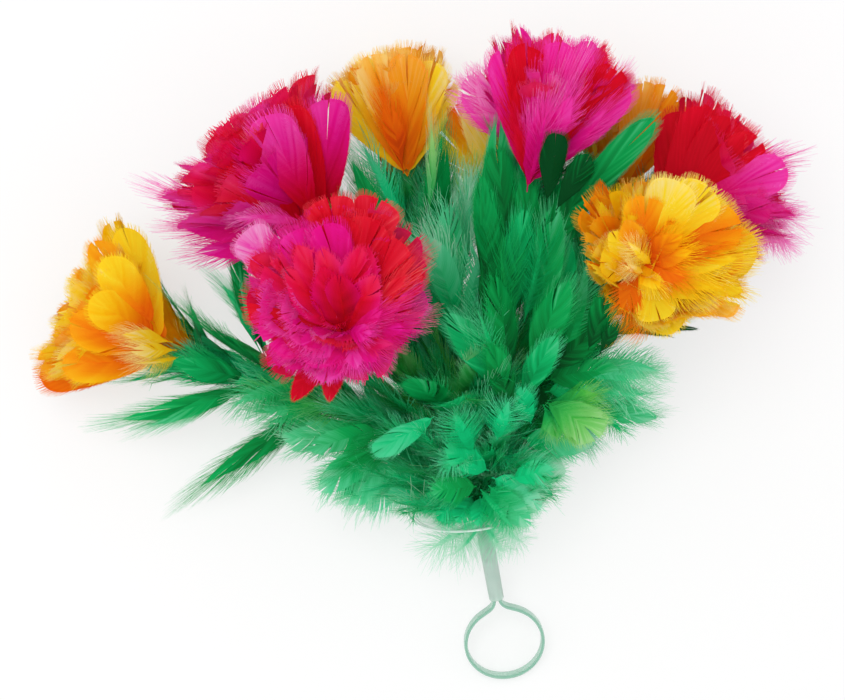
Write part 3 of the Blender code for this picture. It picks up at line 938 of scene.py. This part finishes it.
# Green feathers that stand out of the mass
SPRAYS = feathers(
    """
hub
# between the wires of top_left, centre_back and top_red
cloud mint 12 0 66  17 82 72  14 .4  .25 .8
6 0 62  2 74 68  13 .4  .25 .7
downy 20 4 66  30 84 74  14 .4  .25 .7
cloud 16 16 70  13 66 84  12 .4  .3 .8
goose dark -84 -4 52  -106 60 42  6.5 .4  0 .5
hackle mint -80 -10 50  -101 52 40  7 .4  .1 .6
-86 -2 52  -112 46 44  6 .4  .3 .8
downy 17 26 56  29 100 60  12 .3  .5 .9
limy 22 40 54  24 108 52  11 .3  .5 .9
goose dark 30 4 80  38 76 96  9 .4  .05 .45
34 30 86  32 92 100  8 .4  .05 .5
mint 44 10 88  52 76 106  9 .4  .05 .5
dark 50 20 86  60 92 104  9 .4  .05 .4
56 6 86  74 76 104  10 .4  .05 .5
62 30 84  84 98 102  9 .4  .05 .42
mint 64 4 84  90 62 96  9 .4  .05 .5
36 -22 92  22 26 102  9 .5  .05 .6
dark 44 -18 92  44 42 108  10 .5  .05 .5
54 -14 92  70 40 106  10 .5  .05 .55
mint 50 -30 94  62 12 106  8 .5  .1 .65
dark 46 -34 94  36 6 106  8 .5  .1 .6
broad 58 46 92  86 86 108  10 .5  0 .35
62 74 116  69 107 138  8 .4  -.3 0
67 70 114  82 98 132  7 .4  -.2 .1
84 0 104  93 27 132  7 .4  -.1 .2
hackle 90 -2 104  99 22 132  7 .4  -.1 .3
downy 78 16 72  94 78 66  13 .3  .2 .6
cloud 76 6 74  86 62 72  12 .3  .1 .5
64 -16 76  106 -2 74  12 .4  .2 .8
mint 64 -22 74  108 -14 70  12 .4  .3 .95
goose dark 60 -12 84  96 10 86  9 .4  -.1 .4
cloud mint 14 44 56  31 97 56  12 .3  .5 .85
8 40 54  18 88 56  12 .3  .45 .8
broad dark 44 52 92  38 104 106  8 .5  0 .35
wispy 40 6 92  46 62 112  9 .4  .15 .45
mint 52 14 92  66 66 110  9 .4  .15 .5
40 -20 96  30 30 108  9 .4  .2 .55
downy dark 72 -4 84  96 50 88  13 .4  .3 .7
60 30 60  84 100 56  13 .3  .3 .6
mint 70 30 60  100 92 52  12 .3  .4 .8
hackle dark 0 64 62  10 126 76  6 .3  .2 .5
.6/.95/0/.5 2 66 62  13 128 80  4 .3  .3 .85
cloud mint 16 54 46  17 106 46  13 .3  .75 .95
downy blueish -8 62 50  -34 118 50  10 .3  .3 .75
# over the hub
round 6 -34 98  -26 -55 94  7 .4  .4 .6
broad dark 56 -12 70  64 -50 62  13 .3  -.1 .25
cloud blueish 56 -38 90  46 -18 100  8 .4  .15 .5
34 -62 94  8 -50 98  11 .4  .2 .65
downy 26 -52 96  12 -28 102  13 .4  .3 .7
cloud dark 28 -70 92  2 -72 90  11 .4  .2 .65
downy blueish 38 -46 96  44 -22 100  12 .4  .3 .7
cloud 46 -66 90  70 -60 84  10 .4  .3 .75
fan .6/.86/0/.3 63 -27 93  95 -40 87  13 .4  .25 .8
hackle .5/.9/0/.4 64 -26 92  97 -27 88  9 .4  .25 .75
64 -27 92  99 -35 86  9 .4  .25 .75
63 -28 92  88 -47 82  9 .4  .25 .75
.5/.8/0/.4 62 -28 92  72 -50 80  9 .4  .25 .7
downy mint 84 -8 76  130 -2 70  12 .4  .4 .85
84 -12 76  132 -18 68  12 .4  .4 .9
82 -16 74  127 -30 64  12 .4  .4 .85
78 -22 72  112 -44 60  12 .4  .4 .9
# out to the left
cloud dark -22 -42 66  -66 -52 58  13 .4  .3 .8
mint -16 -50 62  -62 -70 52  13 .4  .3 .9
-10 -56 60  -50 -80 48  13 .4  .3 .9
blueish -4 -60 60  -34 -86 48  12 .4  .3 .85
2 -62 62  -14 -86 54  12 .4  .3 .8
downy dark -50 -30 50  -98 -34 50  13 .4  .3 .8
-60 -16 52  -112 -22 50  13 .4  .3 .75
cloud -34 -40 56  -78 -54 48  12 .4  .3 .8
# down over the collar to its rim
blueish 20 -74 74  -5 -84 68  9 .5  .2 .7
22 -76 76  4 -88 74  9 .5  .2 .7
26 -76 78  17 -91 78  9 .5  .15 .7
30 -76 80  31 -93 79  8 .5  .15 .7
34 -76 80  44 -92 78  8 .5  .2 .75
# out to the right, over the collar's right side, and behind it
mint 46 -54 68  76 -72 60  12 .4  .4 .95
52 -46 70  94 -54 60  13 .4  .4 .95
blueish 36 -66 84  66 -80 74  12 .5  .4 .9
mint 34 -70 86  58 -92 76  11 .5  .4 .95
wispy 30 -72 86  50 -98 78  12 .5  .4 .9
30 -92 46  -2 -110 44  13 .2  .7 .98
31 -93 46  15 -114 44  13 .2  .7 .98
34 -93 46  42 -113 46  12 .2  .7 .98
35 -91 46  58 -106 46  12 .2  .7 .98
"""
)["hub"]


def stray(out, kind, start, end, half, bow, tones, hue, loose=1.0):
    """One feather laid from start to end, both in the CAD's millimetres."""
    start, end = here(*start), here(*end)
    sway, twist = rng.normal(0, 0.12 * loose), rng.normal(0, 0.15 * loose)
    spine = arched(start, end, np.array((0, 0, 1.0)), bow, sway, twist)
    feather(out, spine, half * MM, replace(kind, curl=0.4, ruffle=0.8 * loose), (*tones, 0.1), hue)


def make_bloom(bloom):
    skin = DYED[bloom.dyes]
    outer = Plumage()
    whorls(outer, bloom, OUTER_WHORLS, OUTER_KINDS)
    neck_fluff(outer, bloom, count=140)
    for row in PETALS[bloom.name]:
        stray(outer, *row)
    outer.piece(f"{bloom.name}_petals", skin, bloom.slots[0], f"{bloom.name}_outer_petals")
    inner = Plumage()
    whorls(inner, bloom, INNER_WHORLS, INNER_KINDS)
    heart(inner, bloom, count=240)
    inner.piece(f"{bloom.name}_bud", skin, bloom.slots[1], f"{bloom.name}_inner_petals")


# ---- green feathers


MIXED = (GOOSE, DOWNY, DOWNY, HACKLE, HACKLE)
FLUFF = 5  # loose strands on each green feather


def green(
    out, base, axis, outwards, lean, length, half, bend, kind=None, tip=None, hue=None, root=0.08
):
    """A green feather that leaves base at an angle to an axis. root and tip are its tones."""
    heading, face = leaning(axis, outwards, lean)
    hook, sway, twist = rng.normal(-0.1, 0.2), rng.normal(0, 0.2), rng.normal(0, 0.35)
    spine = Spine(base, heading, face, length, bend, hook, sway, twist)
    if kind is None:
        kind = MIXED[rng.integers(len(MIXED))]
    kind = replace(
        kind,
        blunt=kind.blunt * rng.uniform(0.85, 1.15),
        widest=kind.widest * rng.uniform(0.9, 1.1),
        curl=rng.uniform(0.2, 0.8),
        ruffle=rng.uniform(0, 1.2),
    )
    tip = rng.uniform(0.42, 0.8) if tip is None else tip
    hue = float(np.clip(rng.normal(0.42, 0.2), 0.03, 0.9)) if hue is None else hue
    hues = (hue, hue + rng.normal(0, 0.06), 0.0, 0.5)
    feather(out, spine, half, kind, (root, tip, 0.16), hues)
    y = rng.uniform(0.0, 0.9, FLUFF) * length
    way = spine.read(spine.way, y)
    across = spine.read(spine.across, y) * rng.choice((-1, 1), FLUFF)[:, None]
    normal = spine.read(spine.normal, y) * rng.normal(0, 0.45, FLUFF)[:, None]
    ways = unit(way * rng.uniform(0.6, 1.8, FLUFF)[:, None] + across + normal)
    lengths = rng.uniform(0.9, 1.8, FLUFF) * half
    roots = spine.read(spine.path, y)
    strands(out, roots, ways, lengths, 0.28, (0.4, 0.8), (hue, hue), 3)


def dress_wire(bloom):
    """The green feathers bound all along one wire, and the calyx at its bloom."""
    out = Plumage()
    rows = int(bloom.wire_length() / (10.8 * MM))
    for row in range(rows):
        for _ in range(3):
            t = 0.1 + 0.84 * (row + rng.random()) / rows  # not quite to either end
            point, way = bloom.on_wire(t)
            angle = rng.uniform(0, TAU)
            side = unit(np.cross(way, (0.3, 0.2, 1)))
            outwards = side * math.cos(angle) + np.cross(side, way) * math.sin(angle)
            near = max(0, t - 0.75) / 0.25
            reach = rng.uniform(50, 70) * MM * (1 - 0.35 * near)
            lean = rng.uniform(0.2, 0.55)
            base = point + outwards * 1.2 * MM
            bend = rng.normal(0.25, 0.2)
            green(out, base, way, outwards, lean, reach, rng.uniform(8.5, 12.5) * MM, bend)
    offset = rng.uniform(0, TAU)
    calyx = 9
    for k in range(calyx):
        outwards = bloom.outwards(offset + TAU * (k + rng.uniform(-0.3, 0.3)) / calyx)
        base = bloom.base - bloom.axis * rng.uniform(6, 18) * MM + outwards * 2.5 * MM
        reach = rng.uniform(40, 58) * MM * (1 - 0.45 * max(0, outwards[2]))
        lean = bloom.spread * rng.uniform(0.8, 1.15)
        half = rng.uniform(7, 10) * MM
        green(out, base, bloom.axis, outwards, lean, reach, half, rng.normal(-0.05, 0.12))
    out.piece(f"{bloom.name}_greens", GREEN, "green_feather", f"{bloom.name}_leaf_wrap")


def make_hub():
    """Broad feathers round the hub, between the wires and the down."""
    out = Plumage()
    for _ in range(60):
        outwards = round_stalk(rng.uniform(0, TAU))
        along = rng.uniform(8, 70) * MM
        lean = rng.uniform(0.3, 0.6) + 0.5 * along / (70 * MM)
        base = on_stalk(along) + outwards * 4 * MM
        reach = rng.uniform(46, 70) * MM
        half = rng.uniform(10, 14) * MM
        green(out, base, STALK, outwards, lean, reach, half, rng.normal(0.15, 0.3))
    for row in SPRAYS:
        stray(out, *row, loose=2.5)
    out.piece("hub_greens", GREEN, "green_feather")


SLIVER = replace(LANCE, narrow=0.1, closed=0.9, hair=0.0)
# The CAD's leaf feathers: where each leaves its wrap, bends and ends, its width, the tone
# of its tip, and its kind
LEAVES = {
    "low_left": ((-58, -34, 34), (-100, -58, 30), (-141, -84, 14), 17, 0.5, HACKLE),
    "left_tip": ((-100, -20, 40), (-142, -34, 34), (-181, -44, 20), 16, 0.8, HACKLE),
    "left_upper": ((-84, -8, 54), (-110, 8, 66), (-140, 34, 84), 17, 0.65, HACKLE),
    "left_inner": ((-52, -8, 40), (-80, 18, 44), (-105, 58, 34), 14, 0.5, HACKLE),
    "top_left_outer": ((-18, 58, 52), (-30, 84, 56), (-44, 112, 52), 15, 0.5, HACKLE),
    "top_left_inner": ((4, 58, 52), (10, 88, 66), (10, 124, 74), 16, 0.5, HACKLE),
    "top_red_left": ((32, 46, 84), (36, 84, 98), (41, 122, 104), 16, 0.5, BROAD),
    "top_red_right": ((60, 56, 84), (86, 90, 108), (110, 124, 116), 15, 0.5, BROAD),
    "right": ((92, 8, 60), (120, 12, 62), (148, 10, 56), 4.8, -0.1, SLIVER),
    "right_low": ((76, -26, 44), (106, -32, 42), (136, -30, 32), 20, 0.75, CLOUD),
    "low_right": ((56, -14, 54), (78, -32, 60), (99, -52, 50), 18, 0.65, CLOUD),
    "low_front": ((0, -36, 66), (-24, -50, 74), (-58, -66, 64), 18, 0.5, HACKLE),
}


def make_leaves():
    """Each leaf feather has two shorter ones over it."""
    hue = HUES["dark"]
    for name, (root, bend, tip, width, tone, kind) in LEAVES.items():
        root, bend, tip = here(*root), here(*bend), here(*tip)
        out = Plumage()
        kind = replace(kind, hairs=kind.hairs + 30)
        start = root - (tip - root) * 0.15  # inside the wrap
        up = bend - (start + tip) / 2
        bow = 8 * np.linalg.norm(up) / np.linalg.norm(tip - start)  # of an arc as high as up
        up = up + np.array((0, 0, 2 * MM))
        spine = arched(start, tip, up, bow, sway=rng.normal(0, 0.1))
        feather(out, spine, width * MM / 2 * 1.1, kind, (0.08, tone, 0.16), hue)
        for share in (0.8, 0.62):
            end = start + (tip - start) * share + rng.normal(0, 3, 3) * MM
            shorter = arched(start, end, up, bow, sway=rng.normal(0, 0.15))
            tones = (0.08, tone + rng.uniform(-0.05, 0.2), 0.14)
            feather(out, shorter, width * MM / 2, kind, tones, hue)
        out.piece(f"plume_{name}", GREEN, "green_feather", f"leaf_{name}")


# The reach of each tuft in mm, and the least and most that its feathers lean
TUFTS = (
    (56, (0.8, 1.5)),
    (62, (0.5, 1.05)),
    (84, (0.6, 1.3)),
    (52, (0.9, 1.6)),
    (42, (0.9, 1.6)),
    (52, (0.9, 1.5)),
)


def make_down():
    """Soft feathers and marabou round the top of the handle, over the clear collar."""

    def around(middle):
        return round_stalk(middle + rng.uniform(-0.55, 0.55))

    for k, (reach, leans) in enumerate(TUFTS):
        out = Plumage()
        middle = TAU * (k + 0.5) / len(TUFTS)
        for i in range(20):
            outwards = around(middle)
            base = on_stalk(rng.uniform(4, 34) * MM) + outwards * 5 * MM
            length = rng.uniform(0.5, 0.95) * reach * MM
            hue = float(np.clip(rng.normal(0.15, 0.12), 0.03, 0.8))
            half = rng.uniform(9, 13) * MM
            tip, bend = rng.uniform(0.45, 0.8), rng.normal(0.1, 0.4)
            lean = rng.uniform(*leans)
            kind = (CLOUD, CLOUD, WISPY)[i % 3]
            green(out, base, STALK, outwards, lean, length, half, bend, kind, tip, hue, 0.28)
        for _ in range(7):  # flat on the collar
            outwards = around(middle)
            base = on_stalk(rng.uniform(4, 8) * MM) + outwards * 5 * MM
            length = rng.uniform(29, 34) * MM
            hue, tip = rng.uniform(0.03, 0.25), rng.uniform(0.6, 0.85)
            lean = rng.uniform(1.42, 1.56)
            green(out, base, STALK, outwards, lean, length, 10 * MM, 0.0, CLOUD, tip, hue, 0.25)
        for _ in range(10):
            outwards = around(middle)
            heading, face = leaning(STALK, outwards, rng.uniform(*leans))
            base = on_stalk(rng.uniform(3, 30) * MM) + outwards * 5 * MM
            length = rng.uniform(0.5, 0.9) * reach * MM
            bend, sway = rng.normal(0.1, 0.3), rng.normal(0, 0.5)
            spine = Spine(base, heading, face, length, bend, sway=sway)
            hue = float(np.clip(rng.normal(0.3, 0.15), 0.05, 0.8))
            tones = (0.4, rng.uniform(0.6, 0.85))
            plume(out, spine, tones, (hue, hue))
        out.piece(f"down_{k + 1}", GREEN, "down", f"down_tuft_{k + 1}")


# ---- handle


def grid_faces(rings, sides):
    """The quads of a closed tube of rings that joins up at both ends."""
    i, k = np.indices((rings, sides)).reshape(2, -1)
    j, m = (i + 1) % rings, (k + 1) % sides
    return np.stack((i * sides + k, i * sides + m, j * sides + m, j * sides + k), axis=-1)


def turned(name, profile, sides, skin, slot, *nodes):
    """A smooth surface turned about the stalk from a closed profile of (radius, along)."""
    turns = [TAU * i / sides for i in range(sides)]
    points = [on_stalk(along, radius, turn) for radius, along in profile for turn in turns]
    return make_piece(name, points, grid_faces(len(profile), sides), skin, nodes)


def smoothed(profile, steps=4, radius=0.35 * MM):
    """A closed profile with its corners rounded."""
    made = []
    for i, corner in enumerate(profile):
        before, after = profile[i - 1], profile[(i + 1) % len(profile)]
        corner, before, after = (np.array(p, float) for p in (corner, before, after))
        a, b = (
            corner + unit(p - corner) * min(radius, np.linalg.norm(p - corner) / 2.1)
            for p in (before, after)
        )
        for t in np.linspace(0, 1, steps):
            made.append(a * (1 - t) ** 2 + corner * 2 * t * (1 - t) + b * t * t)
    return made


def swept(name, path, ups, half_wide, half_thick, sides, skin, slot, *nodes):
    """A rounded strip along a path. It lies square to ups at each point."""

    def squared(values):
        return np.sign(values) * np.abs(values) ** 0.45

    path = np.asarray(path)
    thick = unit(np.cross(unit(np.gradient(path, axis=0)), ups))
    turn = TAU * np.arange(sides) / sides
    wide = squared(np.sin(turn))[None, :, None] * ups[:, None] * half_wide[:, None, None]
    deep = squared(np.cos(turn))[None, :, None] * thick[:, None] * half_thick
    points = (path[:, None] + wide + deep).reshape(-1, 3)
    faces = grid_faces(len(path), sides)[:-sides]
    return make_piece(name, points, faces, skin, nodes)


def curve_between(a0, a1, b0, b1, steps):
    """Points of a smooth curve that leaves a1 as from a0, and meets b0 as towards b1."""
    a0, a1, b0, b1 = (np.array(p, float) for p in (a0, a1, b0, b1))
    gap = np.linalg.norm(b0 - a1) / 2.6
    p, q = a1 + unit(a1 - a0) * gap, b0 - unit(b1 - b0) * gap
    t = np.linspace(0, 1, steps + 1)[:-1, None]
    made = a1 * (1 - t) ** 3 + p * 3 * t * (1 - t) ** 2 + q * 3 * t * t * (1 - t) + b0 * t**3
    return [tuple(point) for point in made]


def make_tube():
    """The tapered handle. Its bore is full of wires and shanks."""
    skin = plastic_material("clear_tube", (224, 242, 233), (204, 228, 217), 0.3, 0.8, 0.35)
    top, end = -COLLAR_THICKNESS - GAP, -TUBE_LENGTH
    tube = [(TUBE_BORE, top), (TUBE_RADIUS_TOP, top), (TUBE_RADIUS_END, end), (TUBE_BORE, end)]
    turned("tube", smoothed(tube), 48, skin, "clear_tube", "handle_tube")


def make_collar():
    """A thin dished film with a fine raised edge and a step inside it."""
    skin = plastic_material("clear_film", (235, 248, 242), (220, 240, 230), 0.15, 0.14, 0.0)
    edge = plastic_material("film_edge", (244, 252, 248), (225, 240, 234), 0.2, 0.75, 0.0)
    sides = 96

    def dish(radius):
        return COLLAR_DISH * (radius / COLLAR_RADIUS) ** 2.2

    radii = np.linspace(TUBE_BORE, COLLAR_RADIUS - 0.5 * MM, 14)
    film = [(r, dish(r) - 0.35 * MM) for r in radii]
    film += [(r, dish(r) - 0.75 * MM) for r in radii[::-1]]
    turned("collar_film", film, sides, skin, "clear_tube", "clear_collar")
    for name, inset, thick in (("collar_rim", 0.4, 0.45), ("collar_step", 2.6, 0.3)):
        radius = COLLAR_RADIUS - inset * MM
        middle = dish(radius) - 0.5 * MM
        bead = [
            (radius + thick * MM * math.cos(a), middle + thick * MM * math.sin(a))
            for a in np.linspace(0, TAU, 8, endpoint=False)
        ]
        turned(name, bead, sides, edge, "clear_tube")


def make_binding():
    """Thread wound round the wires, over a core."""
    skin = thread_material("green_thread", (20, 120, 62), (4, 70, 34))
    core, winding = 4.5 * MM, 4.7 * MM  # radii
    start, end = GAP, BINDING_LENGTH
    profile = [(TUBE_BORE, start), (core, start), (core, end), (TUBE_BORE, end)]
    turned("binding_core", smoothed(profile), 32, skin, "green_thread", "thread_binding")
    winds = 17
    turn = np.linspace(0, TAU * winds, winds * 20)
    along = np.linspace(start + 0.6 * MM, end - 0.6 * MM, len(turn))
    thread = np.array([on_stalk(a, winding, t) for a, t in zip(along, turn)])
    ups = np.tile(STALK, (len(turn), 1))
    wide = np.full(len(turn), 0.42 * MM)
    swept("binding_thread", thread, ups, wide, 0.4 * MM, 8, skin, "green_thread")


def make_ring():
    """One bent strip: a loop, whose two ends run side by side into the tube."""
    skin = plastic_material("ring_plastic", (160, 208, 186), (136, 192, 168), 0.3, 1.0, 0.3)
    end = -TUBE_LENGTH
    half = RING_WIDTH / 2 - STRIP_THICKNESS / 2
    middle = end - RING_LENGTH + RING_WIDTH / 2
    shank = STRIP_THICKNESS / 2 + GAP / 2
    shoulder = math.radians(62)
    loop = [
        (half * math.cos(a), middle + half * math.sin(a))
        for a in np.linspace(shoulder, shoulder - (TAU - 2 * (math.pi / 2 - shoulder)), 80)
    ]
    leg = [(shank, end + SHANK_LENGTH), (shank, end + 10 * MM), (shank, end + 2 * MM)]
    right = leg + curve_between(leg[-1], (shank * 1.4, end - 1.2 * MM), loop[0], loop[1], 8)
    path = right + loop + [(-x, y) for x, y in reversed(right)]
    points = np.array([STALK_MIDDLE + STALK * y + STALK_SIDE * x for x, y in path])
    clamped = np.array([y > end - 0.5 * MM for _, y in path])
    wide = np.where(clamped, 0.8, 1.0) * STRIP_WIDTH / 2  # narrower in the tube
    wide = np.convolve(np.pad(wide, 2, mode="edge"), np.full(5, 0.2), mode="valid")
    ups = np.tile(STALK_UP, (len(points), 1))
    half_thick = STRIP_THICKNESS / 2
    swept("ring_strip", points, ups, wide, half_thick, 12, skin, "ring_plastic", "finger_ring")


def dress_wires():
    """The CAD's own wires stay, in floral tape."""
    skin = thread_material("wrapped_wire", (26, 110, 56), (8, 66, 32))
    for bloom in BLOOMS:
        for place in bpy.data.objects[f"{bloom.name}_wire"].material_slots:
            place.material = skin


# ---- stage


def make_stage():
    """A pale floor that looks white to the camera and in clear pieces, and soft light."""
    bpy.ops.mesh.primitive_plane_add(size=4, location=(0, 0, 0))
    floor = bpy.context.object
    floor.name = "floor"
    made, tree, shader, output = new_material("floor")
    pale = {"Base Color": (0.9, 0.9, 0.9, 1), "Roughness": 0.9, "Specular IOR Level": 0.0}
    feed(tree, shader, pale)
    seen = node(tree, "LightPath")
    share = seen.outputs["Is Camera Ray"]
    for kind in ("Is Glossy Ray", "Is Transmission Ray"):
        either = node(tree, "Math", {0: share, 1: seen.outputs[kind]}, operation="MAXIMUM")
        share = either.outputs[0]
    share = node(tree, "Math", {0: share, 1: 0.6}, operation="MULTIPLY").outputs[0]
    blend_in(tree, shader, output, share, node(tree, "Emission", {"Strength": 1.0}))
    floor.data.materials.append(made)

    world = bpy.data.worlds.new("studio")
    bpy.context.scene.world = world
    world.use_nodes = True
    background = world.node_tree.nodes["Background"]
    feed(world.node_tree, background, {"Color": (1, 1, 1, 1), "Strength": 0.85})

    light = bpy.data.lights.new("key", "AREA")
    light.shape = "DISK"
    light.size = 1.2
    light.energy = 10
    key = bpy.data.objects.new("key", light)
    key.location = (-0.25, 0.25, 1.6)
    bpy.context.scene.collection.objects.link(key)
    key.rotation_mode = "QUATERNION"
    key.rotation_quaternion = (-key.location).to_track_quat("-Z", "Y")


def make_camera():
    """Looks straight down, at the scale that the object was measured at."""
    sensor, picture_width = 36, 845
    height = 1.10
    middle = 0.07  # the height at which the object's scale was read
    millimetre_per_pixel = 0.525
    camera = bpy.data.cameras.new("camera")
    camera.sensor_width = sensor
    camera.lens = sensor * (height - middle) / (millimetre_per_pixel * MM * picture_width)
    holder = bpy.data.objects.new("camera", camera)
    holder.location = (SHIFT[0], SHIFT[1], height)
    bpy.context.scene.collection.objects.link(holder)
    bpy.context.scene.camera = holder


for bloom in BLOOMS:
    make_bloom(bloom)
    dress_wire(bloom)
make_hub()
make_leaves()
make_down()
make_tube()
make_collar()
make_binding()
make_ring()
dress_wires()
make_stage()
make_camera()
bpy.context.scene.view_settings.view_transform = "Standard"
